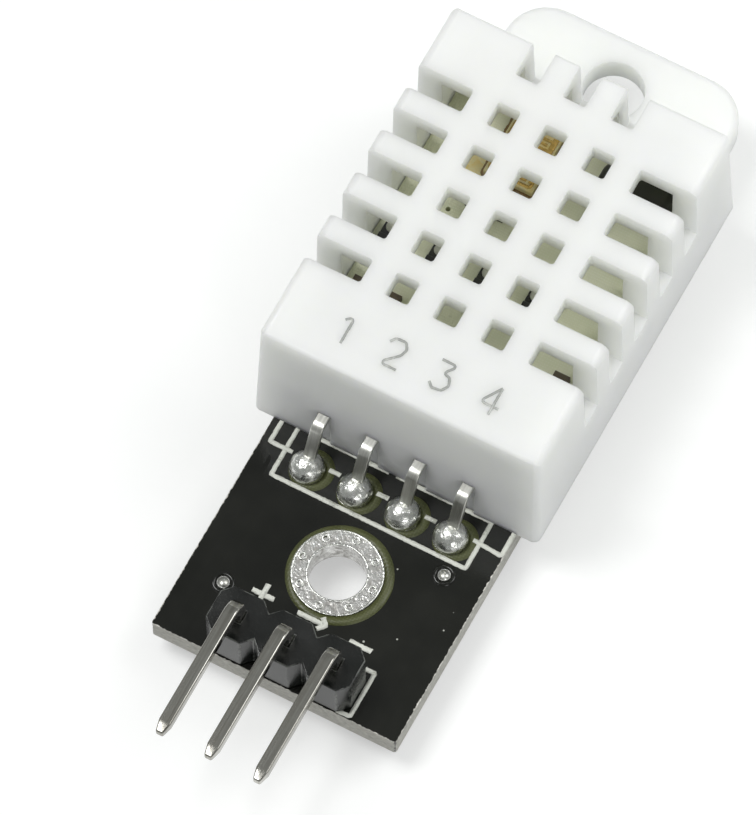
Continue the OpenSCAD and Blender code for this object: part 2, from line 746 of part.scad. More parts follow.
// Chip part under the board, seated on its two pads
module under_chip(x) {
  translate([x, under_chip_y, -plating_t]) mirror([0, 0, 1])
    chip_part(small_chip_len, small_chip_w, small_chip_h);
}

module pull_up_resistor() color("#1d1d1b") under_chip(under_chip_x[0]);

module filter_capacitor() color("#8a7050") under_chip(under_chip_x[1]);

vented_housing();
back_cover();
sensor_board();
element_carrier();
humidity_element();
electrode_combs();
thermistor();
controller_chip();
controller_leads();
inner_resistors();
bias_resistor();
inner_capacitors();
sensor_pin(0);  // sensor_pin_1
sensor_pin(1);  // sensor_pin_2
sensor_pin(2);  // sensor_pin_3
sensor_pin(3);  // sensor_pin_4
inner_pin_solder();
breakout_board();
hole_plating();
sensor_pads();
sensor_pin_solder();
board_vias();
header_base();
header_pin(0);  // header_pin_1
header_pin(1);  // header_pin_2
header_pin(2);  // header_pin_3
header_pads();
header_solder();
chip_pads();
pull_up_resistor();
filter_capacitor();
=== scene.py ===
import math

import bmesh
import bpy
from mathutils import Matrix, Vector, noise


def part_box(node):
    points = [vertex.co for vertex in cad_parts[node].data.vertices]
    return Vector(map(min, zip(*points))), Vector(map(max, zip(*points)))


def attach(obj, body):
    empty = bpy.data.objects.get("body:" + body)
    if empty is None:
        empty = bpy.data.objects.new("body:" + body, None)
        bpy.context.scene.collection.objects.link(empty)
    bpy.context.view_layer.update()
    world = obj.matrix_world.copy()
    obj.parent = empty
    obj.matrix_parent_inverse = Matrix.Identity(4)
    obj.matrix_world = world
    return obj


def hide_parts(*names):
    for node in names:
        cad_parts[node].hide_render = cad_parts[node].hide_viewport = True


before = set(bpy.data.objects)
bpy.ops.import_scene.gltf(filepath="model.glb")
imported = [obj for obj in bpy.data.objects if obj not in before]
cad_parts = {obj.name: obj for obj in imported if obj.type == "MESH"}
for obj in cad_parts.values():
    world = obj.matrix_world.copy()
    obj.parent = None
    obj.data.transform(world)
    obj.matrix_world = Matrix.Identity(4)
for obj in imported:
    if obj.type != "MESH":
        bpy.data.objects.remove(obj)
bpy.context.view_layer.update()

# Lengths are in millimetres and are scaled to metres where a mesh is handed over.
MM = 0.001
BODY = "root"


def place_of(node):
    """Lowest and highest corner of a solid of the frame."""
    low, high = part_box(node)
    return low / MM, high / MM


# What the frame gives
BOARD_LOW, BOARD_HIGH = place_of("breakout_board")
BOARD_TOP = BOARD_HIGH.z
HOUSING_LOW, HOUSING_HIGH = place_of("vented_housing")
HEADER_LOW, HEADER_HIGH = place_of("header_base")
RING_HIGH = place_of("hole_plating")[1]
JOINT_LOW, JOINT_HIGH = place_of("sensor_pin_solder")
PAD_ROW_Y = (JOINT_LOW.y + JOINT_HIGH.y) / 2
PIN_PITCH = 2.54
PIN_XS = [PIN_PITCH * (i - 1.5) for i in range(4)]
HEADER_ROW_Y = (HEADER_LOW.y + HEADER_HIGH.y) / 2
HEADER_XS = [PIN_PITCH * (i - 1) for i in range(3)]
FACE_Z = HOUSING_HIGH.z
RING_R = RING_HIGH.x
PLATED_TOP = RING_HIGH.z

# Sizes of the part's source that the frame's boxes don't show
PAD_R = 0.85
HOLE_R = 0.5
MOUNT_HOLE_R = 1.4
STITCHES = 8
STITCH_CIRCLE = 1.85
STITCH_R = 0.17
ROW_STEP = 2.55
VIAS = [Vector((-4.48, -2.91)), Vector((4.44, 2.25))]


# Shader helpers
def node_in(tree, kind, inputs=None, **settings):
    """A shader or geometry node with its settings, and values or links on its inputs."""
    made = tree.nodes.new(kind)
    for name, value in settings.items():
        setattr(made, name, value)
    for key, value in (inputs or {}).items():
        socket = made.inputs[key]
        if isinstance(value, bpy.types.NodeSocket):
            tree.links.new(value, socket)
        else:
            socket.default_value = value
    return made


def maths(tree, operation, *values):
    """A Math node's output."""
    inputs = dict(enumerate(values))
    return node_in(tree, "ShaderNodeMath", inputs, operation=operation).outputs[0]


def blend_colours(tree, share, first, second):
    """Colour that goes from the first to the second with the share."""
    made = node_in(tree, "ShaderNodeMix", data_type="RGBA")
    for index, value in ((0, share), (6, first), (7, second)):
        socket = made.inputs[index]
        if isinstance(value, bpy.types.NodeSocket):
            tree.links.new(value, socket)
        else:
            socket.default_value = (*value, 1) if index else value
    return made.outputs[2]


def spread(tree, value, low, high, to_low=0.0, to_high=1.0):
    """The value mapped from one range to another, and held inside it."""
    inputs = {0: value, 1: low, 2: high, 3: to_low, 4: to_high}
    return node_in(tree, "ShaderNodeMapRange", inputs).outputs[0]


def shader_group(name, numbers, outputs):
    """An empty shader group with number inputs, its input and its output."""
    tree = bpy.data.node_groups.new(name, "ShaderNodeTree")
    for label, value in numbers.items():
        tree.interface.new_socket(
            label, in_out="INPUT", socket_type="NodeSocketFloat"
        ).default_value = value
    for label in outputs:
        tree.interface.new_socket(label, in_out="OUTPUT", socket_type="NodeSocketFloat")
    given = tree.nodes.new("NodeGroupInput")
    result = tree.nodes.new("NodeGroupOutput")
    return tree, given.outputs, result.inputs


def millimetre_place(tree):
    """The point on the piece in millimetres."""
    place = node_in(tree, "ShaderNodeTexCoord").outputs["Object"]
    scaled = node_in(tree, "ShaderNodeVectorMath", {0: place}, operation="SCALE")
    scaled.inputs["Scale"].default_value = 1 / MM
    return scaled.outputs[0]


def moulded_grain():
    """Fine grain and slow waviness of a moulded or coated surface."""
    fine_share, slow_share = 0.35, 0.65
    tree, given, result = shader_group(
        "moulded grain", {"Grains per mm": 12.0, "Waves per mm": 0.5}, ("Height", "Tone")
    )
    place = millimetre_place(tree)
    fine = node_in(
        tree, "ShaderNodeTexNoise",
        {"Vector": place, "Scale": given["Grains per mm"], "Detail": 3.0, "Roughness": 0.6},
    )
    slow = node_in(
        tree, "ShaderNodeTexNoise",
        {"Vector": place, "Scale": given["Waves per mm"], "Detail": 2.0, "Roughness": 0.5},
    )
    fine_part = maths(tree, "MULTIPLY", fine.outputs[0], fine_share)
    slow_part = maths(tree, "MULTIPLY", slow.outputs[0], slow_share)
    tree.links.new(maths(tree, "ADD", fine_part, slow_part), result["Height"])
    tree.links.new(spread(tree, slow.outputs[0], 0.3, 0.7), result["Tone"])
    return tree


def edge_wear_and_highlight():
    """Where a rounded edge is lighter, broken up along its length: rubbed wear on the dark
    plastics, a painted highlight on the white moulding.
    """
    untouched, softness = 0.75, 0.15
    tree, given, result = shader_group(
        "edge wear and highlight", {"Patches per mm": 1.5, "Amount": 0.5}, ("Wear and highlight",)
    )
    edge = node_in(tree, "ShaderNodeAttribute", attribute_name="rounded_edge")
    patches = node_in(
        tree, "ShaderNodeTexNoise",
        {"Vector": millimetre_place(tree), "Scale": given["Patches per mm"],
         "Detail": 4.0, "Roughness": 0.65},
    )
    low = maths(tree, "SUBTRACT", untouched, maths(tree, "MULTIPLY", given["Amount"], 0.5))
    high = maths(tree, "ADD", low, softness)
    lightened = spread(tree, patches.outputs[0], low, high)
    tree.links.new(maths(tree, "MULTIPLY", edge.outputs["Fac"], lightened), result["Wear and highlight"])
    return tree


def drawn_streaks():
    """Long fine lines that drawing leaves along a square pin."""
    tree, given, result = shader_group(
        "drawn streaks", {"Lines per mm": 5.0, "Stretch": 0.04}, ("Height", "Tone")
    )
    part = node_in(tree, "ShaderNodeSeparateXYZ", {0: millimetre_place(tree)}).outputs
    along = maths(tree, "MULTIPLY", maths(tree, "ADD", part["Y"], part["Z"]), given["Stretch"])
    squeezed = node_in(tree, "ShaderNodeCombineXYZ", {"X": part["X"], "Y": along}).outputs[0]
    drawn = node_in(
        tree, "ShaderNodeTexNoise",
        {"Vector": squeezed, "Scale": given["Lines per mm"], "Detail": 4.0, "Roughness": 0.55},
    ).outputs[0]
    tree.links.new(drawn, result["Height"])
    tree.links.new(spread(tree, drawn, 0.35, 0.65), result["Tone"])
    return tree


def metal_mottle():
    """Pits, grains and flow marks of solder and of tin plate."""
    pits_per_grain, flow_share, pit_share = 1.6, 0.7, 0.3
    tree, given, result = shader_group(
        "metal mottle", {"Grains per mm": 5.0, "Distortion": 0.6}, ("Height", "Tone")
    )
    place = millimetre_place(tree)
    flow = node_in(
        tree, "ShaderNodeTexNoise",
        {"Vector": place, "Scale": given["Grains per mm"], "Detail": 5.0,
         "Roughness": 0.6, "Distortion": given["Distortion"]},
    )
    cells = node_in(
        tree, "ShaderNodeTexVoronoi",
        {"Vector": place,
         "Scale": maths(tree, "MULTIPLY", given["Grains per mm"], pits_per_grain)},
    )
    pits = spread(tree, cells.outputs["Distance"], 0.0, 0.5)
    height = maths(tree, "ADD", maths(tree, "MULTIPLY", flow.outputs[0], flow_share),
                   maths(tree, "MULTIPLY", pits, pit_share))
    tree.links.new(height, result["Height"])
    tree.links.new(spread(tree, flow.outputs[0], 0.35, 0.68), result["Tone"])
    return tree


def glass_weave():
    """Crossed glass threads that show through a laminate."""
    thread_share, cloud_share = 0.3, 0.7
    tree, given, result = shader_group("glass weave", {"Threads per mm": 2.2}, ("Height", "Tone"))
    place = millimetre_place(tree)
    threads = []
    for direction in ("X", "Y"):
        wave = node_in(
            tree, "ShaderNodeTexWave",
            {"Vector": place, "Scale": given["Threads per mm"], "Distortion": 0.8,
             "Detail": 1.0, "Detail Scale": 2.0},
            bands_direction=direction,
        )
        threads.append(wave.outputs["Fac"])
    crossed = maths(tree, "MULTIPLY", *threads)
    tree.links.new(crossed, result["Height"])
    cloudy = node_in(tree, "ShaderNodeTexNoise", {"Vector": place, "Scale": 0.7, "Detail": 3.0})
    tone = maths(tree, "ADD", maths(tree, "MULTIPLY", crossed, thread_share),
                 maths(tree, "MULTIPLY", cloudy.outputs[0], cloud_share))
    tree.links.new(spread(tree, tone, 0.25, 0.7), result["Tone"])
    return tree


GRAIN = moulded_grain()
WEAR_AND_HIGHLIGHT = edge_wear_and_highlight()
STREAKS = drawn_streaks()
MOTTLE = metal_mottle()
WEAVE = glass_weave()


def effect(tree, group, **numbers):
    """One of the groups above in a material; returns its outputs."""
    made = node_in(tree, "ShaderNodeGroup", node_tree=group)
    for label, value in numbers.items():
        made.inputs[label.replace("_", " ")].default_value = value
    return made.outputs


def material(name, **sockets):
    """A material, its tree and its shader's inputs, with the even values set on them."""
    made = bpy.data.materials.new(name)
    made.use_nodes = True
    shader = made.node_tree.nodes["Principled BSDF"]
    for label, value in sockets.items():
        shader.inputs[label.replace("_", " ")].default_value = value
    return made, made.node_tree, shader.inputs


def bump(tree, shader, height, depth):
    """Relief of that depth on the shader's normal."""
    made = node_in(tree, "ShaderNodeBump", {"Height": height, "Distance": depth * MM})
    tree.links.new(made.outputs[0], shader["Normal"])


PLASTIC_IOR = 1.5


def moulded_plastic(name, colour, shade, worn, rough, depth, wear, **sockets):
    """Moulded plastic: two close tones, grain, and lighter rounded edges, which are rubbed wear on
    dark plastic and a painted highlight on white.
    """
    smoothest, roughest = rough - 0.05, rough + 0.07
    made, tree, shader = material(name, IOR=PLASTIC_IOR, **sockets)
    grain = effect(tree, GRAIN, Grains_per_mm=12.0, Waves_per_mm=0.35)
    lightened = effect(tree, WEAR_AND_HIGHLIGHT, Patches_per_mm=1.8, Amount=wear)["Wear and highlight"]
    body = blend_colours(tree, grain["Tone"], colour, shade)
    tree.links.new(blend_colours(tree, lightened, body, worn), shader["Base Color"])
    tree.links.new(spread(tree, grain["Tone"], 0.0, 1.0, smoothest, roughest),
                   shader["Roughness"])
    bump(tree, shader, grain["Height"], depth)
    return made


def bright_metal(name, bright, dull, rough, grains, depth):
    """Solder or plating: mottled tone, mottled gloss and fine relief."""
    dullest = rough + 0.14
    made, tree, shader = material(name, Metallic=1.0)
    mottle = effect(tree, MOTTLE, Grains_per_mm=grains, Distortion=0.7)
    tree.links.new(blend_colours(tree, mottle["Tone"], dull, bright), shader["Base Color"])
    tree.links.new(spread(tree, mottle["Tone"], 0.0, 1.0, dullest, rough), shader["Roughness"])
    bump(tree, shader, mottle["Height"], depth)
    return made


def drawn_tin(name, bright, dull, rough, depth):
    """Tin plate over a drawn pin, with its lines along the pin."""
    dullest = rough + 0.09
    faintest_mottle = 0.7
    made, tree, shader = material(name, Metallic=1.0)
    streaks = effect(tree, STREAKS, Lines_per_mm=5.0, Stretch=0.04)
    mottle = effect(tree, MOTTLE, Grains_per_mm=2.2, Distortion=0.4)
    patches = spread(tree, mottle["Tone"], 0.0, 1.0, faintest_mottle, 1.0)
    tone = maths(tree, "MULTIPLY", streaks["Tone"], patches)
    tree.links.new(blend_colours(tree, tone, dull, bright), shader["Base Color"])
    tree.links.new(spread(tree, tone, 0.0, 1.0, dullest, rough), shader["Roughness"])
    bump(tree, shader, streaks["Height"], depth)
    return made


# The white moulding's lighter worn colour on its rounded edges is a painted highlight along those
# edges.
WHITE = moulded_plastic(
    "white moulding", colour=(0.89, 0.905, 0.865), shade=(0.87, 0.89, 0.845),
    worn=(0.93, 0.935, 0.92), rough=0.5, depth=0.004, wear=0.3,
    Subsurface_Weight=1.0, Subsurface_Radius=(1.0, 1.0, 0.9), Subsurface_Scale=2.4 * MM,
)
BLACK = moulded_plastic(
    "black header plastic", colour=(0.003, 0.004, 0.0035), shade=(0.010, 0.011, 0.010),
    worn=(0.085, 0.09, 0.082), rough=0.18, depth=0.02, wear=0.62,
)
EPOXY = moulded_plastic(
    "black epoxy", colour=(0.011, 0.012, 0.007), shade=(0.024, 0.026, 0.015),
    worn=(0.08, 0.08, 0.07), rough=0.38, depth=0.01, wear=0.4,
)
GLAZE = moulded_plastic(
    "chip glaze", colour=(0.012, 0.012, 0.012), shade=(0.03, 0.03, 0.028),
    worn=(0.1, 0.1, 0.09), rough=0.3, depth=0.006, wear=0.5,
)
CERAMIC = moulded_plastic(
    "chip ceramic", colour=(0.09, 0.07, 0.045), shade=(0.15, 0.115, 0.075),
    worn=(0.30, 0.25, 0.18), rough=0.4, depth=0.006, wear=0.4,
)
PALE = moulded_plastic(
    "pale ceramic", colour=(0.80, 0.80, 0.73), shade=(0.70, 0.70, 0.62),
    worn=(0.92, 0.92, 0.88), rough=0.4, depth=0.006, wear=0.3,
)
TIN = drawn_tin("tin plate", bright=(0.58, 0.57, 0.53), dull=(0.30, 0.29, 0.26),
                rough=0.1, depth=0.002)
DULL_TIN = drawn_tin("dull tin plate", bright=(0.80, 0.80, 0.76), dull=(0.52, 0.52, 0.48),
                     rough=0.3, depth=0.006)
SOLDER = bright_metal("solder", bright=(0.93, 0.935, 0.91), dull=(0.58, 0.59, 0.55),
                      rough=0.19, grains=3.0, depth=0.042)
PLATED = bright_metal("plated copper", bright=(0.93, 0.93, 0.91), dull=(0.36, 0.35, 0.33),
                      rough=0.2, grains=3.4, depth=0.024)
GOLD = bright_metal("gold plate", bright=(0.72, 0.50, 0.17), dull=(0.46, 0.30, 0.09),
                    rough=0.25, grains=8.0, depth=0.004)

# Middle x, middle y, half width and half length of the copper tracks under the mask
TRACKS = ((-5.2, -2.2, 0.4, 6.0), (5.3, -4.2, 0.3, 4.4))
TRACK_SLOPE = 0.1


def hidden_tracks(tree, part):
    """Where straight copper tracks lift the mask."""
    lifted = None
    for x, y, half_width, half_length in TRACKS:
        across = maths(tree, "SUBTRACT",
                       maths(tree, "ABSOLUTE", maths(tree, "SUBTRACT", part["X"], x)), half_width)
        along = maths(tree, "SUBTRACT",
                      maths(tree, "ABSOLUTE", maths(tree, "SUBTRACT", part["Y"], y)), half_length)
        outside = maths(tree, "MAXIMUM", across, along)
        one = spread(tree, outside, -TRACK_SLOPE, TRACK_SLOPE, 1.0, 0.0)
        lifted = maths(tree, "MAXIMUM", lifted, one) if lifted else one
    return lifted


def coated_board():
    """Black solder mask with dust on the faces, bare sawn laminate at the edges."""
    mask_dark, mask_light = (0.0045, 0.005, 0.0035), (0.009, 0.0095, 0.007)
    sawn_dark, sawn_light = (0.52, 0.51, 0.46), (0.90, 0.88, 0.82)
    dust_grey = (0.45, 0.46, 0.42)
    sawn_narrow, sawn_broad, sawn_blur = 0.01, 0.07, 0.01
    speck_r, speck_blur = 0.03, 0.015
    glossiest, dullest, sawn_rough = 0.10, 0.17, 0.55
    grain_share, fibre_share, track_share = 0.2, 3.0, 0.5
    made, tree, shader = material("black board", IOR=PLASTIC_IOR)
    place = millimetre_place(tree)
    part = node_in(tree, "ShaderNodeSeparateXYZ", {0: place}).outputs
    to_side = maths(tree, "SUBTRACT", BOARD_HIGH.x, maths(tree, "ABSOLUTE", part["X"]))
    to_front = maths(tree, "SUBTRACT", part["Y"], BOARD_LOW.y)
    to_back = maths(tree, "SUBTRACT", BOARD_HIGH.y, part["Y"])
    to_edge = maths(tree, "MINIMUM", to_side, maths(tree, "MINIMUM", to_front, to_back))
    chips = node_in(tree, "ShaderNodeTexNoise",
                    {"Vector": place, "Scale": 4.0, "Detail": 4.0, "Roughness": 0.7})
    sawn_width = spread(tree, chips.outputs[0], 0.42, 0.68, sawn_narrow, sawn_broad)
    bare = spread(tree, maths(tree, "SUBTRACT", sawn_width, to_edge), -sawn_blur, sawn_blur)
    grain = effect(tree, GRAIN, Grains_per_mm=7.0, Waves_per_mm=0.4)
    mask_colour = blend_colours(tree, grain["Tone"], mask_dark, mask_light)
    streaks = node_in(tree, "ShaderNodeMapping", {"Vector": place, "Scale": (3.0, 3.0, 14.0)})
    fibres = node_in(tree, "ShaderNodeTexNoise",
                     {"Vector": streaks.outputs[0], "Scale": 1.0, "Detail": 5.0, "Roughness": 0.7})
    fibre_tone = spread(tree, fibres.outputs[0], 0.35, 0.65)
    sawn_colour = blend_colours(tree, fibre_tone, sawn_dark, sawn_light)
    dust_cells = node_in(tree, "ShaderNodeTexVoronoi", {"Vector": place, "Scale": 0.7})
    dust = spread(tree, dust_cells.outputs["Distance"], speck_r, speck_r + speck_blur, 1.0, 0.0)
    dusty_colour = blend_colours(tree, dust, mask_colour, dust_grey)
    tree.links.new(blend_colours(tree, bare, dusty_colour, sawn_colour), shader["Base Color"])
    gloss = spread(tree, grain["Tone"], 0.0, 1.0, glossiest, dullest)
    tree.links.new(maths(tree, "ADD", gloss, maths(tree, "MULTIPLY", bare, sawn_rough)),
                   shader["Roughness"])
    fibres_seen = maths(tree, "MULTIPLY", fibre_tone, bare)
    relief = maths(tree, "ADD", maths(tree, "MULTIPLY", grain["Height"], grain_share),
                   maths(tree, "MULTIPLY", fibres_seen, fibre_share))
    track = maths(tree, "MULTIPLY", hidden_tracks(tree, part), track_share)
    bump(tree, shader, maths(tree, "ADD", relief, track), depth=0.02)
    return made


def bare_laminate(name, dark, light, rough):
    """Laminate with its glass weave showing."""
    dullest = rough + 0.1
    made, tree, shader = material(name, IOR=PLASTIC_IOR)
    weave = effect(tree, WEAVE, Threads_per_mm=2.2)
    tree.links.new(blend_colours(tree, weave["Tone"], dark, light), shader["Base Color"])
    tree.links.new(spread(tree, weave["Tone"], 0.0, 1.0, rough, dullest), shader["Roughness"])
    bump(tree, shader, weave["Height"], depth=0.008)
    return made


def printed_ink(name, full, worn, thinnest, thickest):
    """Screen-printed ink, thin in specks."""
    smoothest, roughest = 0.35, 0.6
    made, tree, shader = material(name, IOR=PLASTIC_IOR)
    grain = effect(tree, GRAIN, Grains_per_mm=9.0, Waves_per_mm=1.5)
    specks = spread(tree, grain["Height"], thinnest, thickest)
    tree.links.new(blend_colours(tree, specks, worn, full), shader["Base Color"])
    tree.links.new(spread(tree, specks, 0.0, 1.0, smoothest, roughest), shader["Roughness"])
    bump(tree, shader, grain["Height"], depth=0.01)
    return made


def amber_polymer(name, dark, light):
    """Thin amber polymer with darker streaks and a clear coat."""
    smoothest, roughest = 0.3, 0.42
    made, tree, shader = material(name, IOR=PLASTIC_IOR, Coat_Weight=0.6, Coat_Roughness=0.08)
    mottle = effect(tree, MOTTLE, Grains_per_mm=1.8, Distortion=1.2)
    tree.links.new(blend_colours(tree, mottle["Tone"], dark, light), shader["Base Color"])
    tree.links.new(spread(tree, mottle["Tone"], 0.0, 1.0, smoothest, roughest),
                   shader["Roughness"])
    bump(tree, shader, mottle["Height"], depth=0.01)
    return made


BOARD = coated_board()
KHAKI = bare_laminate("khaki board", dark=(0.90, 0.92, 0.68), light=(0.96, 0.97, 0.78),
                      rough=0.4)
OLIVE = bare_laminate("bare mask opening", dark=(0.055, 0.062, 0.020),
                      light=(0.105, 0.115, 0.042), rough=0.35)
INK = printed_ink("white ink", full=(0.70, 0.71, 0.65), worn=(0.40, 0.41, 0.36),
                  thinnest=0.34, thickest=0.44)
GREY_INK = printed_ink("grey ink", full=(0.36, 0.37, 0.35), worn=(0.60, 0.61, 0.58),
                       thinnest=0.34, thickest=0.5)
AMBER = amber_polymer("amber film", dark=(0.97, 0.78, 0.32), light=(1.0, 0.93, 0.62))
# Brown of the glue round the chip's foot, which is also painted shade where the chip meets the
# film
GLUE_AND_SHADE = amber_polymer("brown glue and painted shade", dark=(0.16, 0.09, 0.03), light=(0.34, 0.22, 0.08))


# Mesh helpers
MERGE = 1e-4
FLAT = math.radians(1)
SHARP = math.radians(35)
SHADED_SHARP = math.radians(40)
SOLDER_SHARP = math.radians(60)


def new_piece(name, mesh, materials, stands_for=()):
    """Turns a mesh in millimetres into a finished piece that rides on the object."""
    mesh.transform(Matrix.Scale(MM, 4))
    mesh.materials.clear()
    for one in materials:
        mesh.materials.append(one)
    piece = bpy.data.objects.new(name, mesh)
    bpy.context.scene.collection.objects.link(piece)
    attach(piece, BODY)
    if stands_for:
        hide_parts(*stands_for)
    return piece


def merged_copy(node):
    """The solid's mesh in millimetres with its triangles joined into whole faces."""
    shape = bmesh.new()
    shape.from_mesh(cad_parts[node].data)
    bmesh.ops.scale(shape, vec=(1 / MM,) * 3, verts=shape.verts)
    bmesh.ops.remove_doubles(shape, verts=shape.verts, dist=MERGE)
    bmesh.ops.dissolve_limit(shape, angle_limit=FLAT, verts=shape.verts, edges=shape.edges)
    return shape


def round_edges(shape, width, segments):
    """Rounds the sharp edges and marks the new faces for edge wear and the painted edge highlight.
    """
    mark = shape.faces.layers.float.new("rounded_edge")
    sharp = [e for e in shape.edges if len(e.link_faces) == 2 and e.calc_face_angle() > SHARP]
    rounded = bmesh.ops.bevel(
        shape, geom=sharp, offset=width, offset_type="OFFSET", segments=segments,
        profile=0.5, affect="EDGES", clamp_overlap=True, harden_normals=False,
    )
    for face in rounded["faces"]:
        face[mark] = 1.0


def mesh_from(shape, name, smooth=SHADED_SHARP):
    """A finished mesh, smooth but for edges sharper than the given angle, with even flats."""
    mesh = bpy.data.meshes.new(name)
    shape.to_mesh(mesh)
    shape.free()
    mesh.shade_smooth()
    mesh.set_sharp_from_angle(angle=smooth)
    host = bpy.data.objects.new(name + "_host", mesh)
    bpy.context.scene.collection.objects.link(host)
    even = host.modifiers.new("even_flats", "WEIGHTED_NORMAL")
    even.keep_sharp = True
    graph = bpy.context.evaluated_depsgraph_get()
    flat = bpy.data.meshes.new_from_object(host.evaluated_get(graph), depsgraph=graph)
    bpy.data.objects.remove(host)
    bpy.data.meshes.remove(mesh)
    return flat


def rounded_piece(name, nodes, width, segments, materials):
    """One piece of all the solids together, each with its edges rounded."""
    whole = bmesh.new()
    for node in nodes:
        shape = merged_copy(node)
        round_edges(shape, width, segments)
        part = bpy.data.meshes.new(name)
        shape.to_mesh(part)
        shape.free()
        whole.from_mesh(part)
        bpy.data.meshes.remove(part)
    new_piece(name, mesh_from(whole, name), materials, nodes)


# Geometry trees
def geometry_tree(name, sizes):
    """An empty geometry tree with named sizes and a material."""
    tree = bpy.data.node_groups.new(name, "GeometryNodeTree")
    tree.interface.new_socket("Geometry", in_out="INPUT", socket_type="NodeSocketGeometry")
    for label, value in sizes.items():
        kind = "NodeSocketInt" if isinstance(value, int) else "NodeSocketFloat"
        tree.interface.new_socket(label, in_out="INPUT", socket_type=kind).default_value = value
    tree.interface.new_socket("Material", in_out="INPUT", socket_type="NodeSocketMaterial")
    tree.interface.new_socket("Geometry", in_out="OUTPUT", socket_type="NodeSocketGeometry")
    given = tree.nodes.new("NodeGroupInput").outputs
    return tree, given


def end_tree(tree, given, geometry):
    """Closes a tree with plain geometry and its material."""
    real = node_in(tree, "GeometryNodeRealizeInstances", {0: geometry}).outputs[0]
    coloured = node_in(
        tree, "GeometryNodeSetMaterial", {"Geometry": real, "Material": given["Material"]}
    )
    output = tree.nodes.new("NodeGroupOutput")
    tree.links.new(coloured.outputs[0], output.inputs["Geometry"])


def flat_bar(tree, width, thickness):
    """The cross-section of a flat line."""
    bar = node_in(tree, "GeometryNodeCurvePrimitiveQuadrilateral", mode="RECTANGLE")
    tree.links.new(width, bar.inputs["Width"])
    tree.links.new(thickness, bar.inputs["Height"])
    return bar.outputs[0]


CORNER_STEPS = 4
BEAD_SIDES = 8
RING_SIDES = 96


def line_tree():
    """Flat lines along the host's edges, with soft corners and a ragged border."""
    tree, given = geometry_tree(
        "flat line",
        {"Width": 0.22, "Thickness": 0.02, "Corner": 0.08, "Step": 0.08, "Ragged": 0.02,
         "Seed": 3},
    )
    curve = node_in(tree, "GeometryNodeMeshToCurve", {"Mesh": given["Geometry"]}).outputs[0]
    soft = node_in(
        tree, "GeometryNodeFilletCurve",
        {"Curve": curve, "Radius": given["Corner"], "Count": CORNER_STEPS}, mode="POLY",
    )
    even = node_in(
        tree, "GeometryNodeResampleCurve",
        {"Curve": soft.outputs[0], "Length": given["Step"]}, mode="LENGTH",
    )
    level = node_in(tree, "GeometryNodeSetCurveNormal", {"Curve": even.outputs[0]}, mode="Z_UP")
    bar = flat_bar(tree, given["Width"], given["Thickness"])
    strip = node_in(
        tree, "GeometryNodeCurveToMesh",
        {"Curve": level.outputs[0], "Profile Curve": bar, "Fill Caps": True},
    )
    inward = maths(tree, "MULTIPLY", given["Ragged"], -1.0)
    shake = node_in(
        tree, "FunctionNodeRandomValue",
        {"Seed": given["Seed"], 2: inward, 3: given["Ragged"]}, data_type="FLOAT",
    ).outputs[1]
    shift = node_in(tree, "ShaderNodeCombineXYZ", {"X": shake, "Y": shake})
    moved = node_in(
        tree, "GeometryNodeSetPosition",
        {"Geometry": strip.outputs[0], "Offset": shift.outputs[0]},
    )
    end_tree(tree, given, moved.outputs[0])
    return tree


def ring_tree():
    """A flat ring on each of the host's points."""
    tree, given = geometry_tree(
        "flat ring", {"Inner": 0.8, "Outer": 1.2, "Thickness": 0.02, "Sides": 48}
    )
    across = maths(tree, "ADD", given["Inner"], given["Outer"])
    middle = maths(tree, "MULTIPLY", across, 0.5)
    width = maths(tree, "SUBTRACT", given["Outer"], given["Inner"])
    circle = node_in(tree, "GeometryNodeCurvePrimitiveCircle",
                     {"Resolution": given["Sides"], "Radius": middle}, mode="RADIUS")
    level = node_in(tree, "GeometryNodeSetCurveNormal", {"Curve": circle.outputs[0]}, mode="Z_UP")
    ring = node_in(
        tree, "GeometryNodeCurveToMesh",
        {"Curve": level.outputs[0], "Profile Curve": flat_bar(tree, width, given["Thickness"])},
    )
    points = node_in(tree, "GeometryNodeMeshToPoints", {"Mesh": given["Geometry"]})
    rings = node_in(tree, "GeometryNodeInstanceOnPoints",
                    {"Points": points.outputs[0], "Instance": ring.outputs[0]})
    end_tree(tree, given, rings.outputs[0])
    return tree


def circle_tree():
    """A small round bead ring at even steps round a circle about each host point."""
    tree, given = geometry_tree(
        "rims round a circle",
        {"Circle": STITCH_CIRCLE, "Count": STITCHES, "Rim": STITCH_R, "Bead": 0.06,
         "Sides": 20},
    )
    circle = node_in(tree, "GeometryNodeCurvePrimitiveCircle",
                     {"Resolution": given["Count"], "Radius": given["Circle"]}, mode="RADIUS")
    rim = node_in(tree, "GeometryNodeCurvePrimitiveCircle",
                  {"Resolution": given["Sides"], "Radius": given["Rim"]}, mode="RADIUS")
    bead = node_in(tree, "GeometryNodeCurvePrimitiveCircle",
                   {"Resolution": BEAD_SIDES, "Radius": given["Bead"]}, mode="RADIUS")
    tube = node_in(tree, "GeometryNodeCurveToMesh",
                   {"Curve": rim.outputs[0], "Profile Curve": bead.outputs[0]})
    smooth = node_in(tree, "GeometryNodeSetShadeSmooth", {"Geometry": tube.outputs[0]})
    each = node_in(tree, "GeometryNodeInstanceOnPoints",
                   {"Points": circle.outputs[0], "Instance": smooth.outputs[0]})
    points = node_in(tree, "GeometryNodeMeshToPoints", {"Mesh": given["Geometry"]})
    rounds = node_in(tree, "GeometryNodeInstanceOnPoints",
                     {"Points": points.outputs[0], "Instance": each.outputs[0]})
    end_tree(tree, given, rounds.outputs[0])
    return tree


LINES = line_tree()
RINGS = ring_tree()
RIMS = circle_tree()


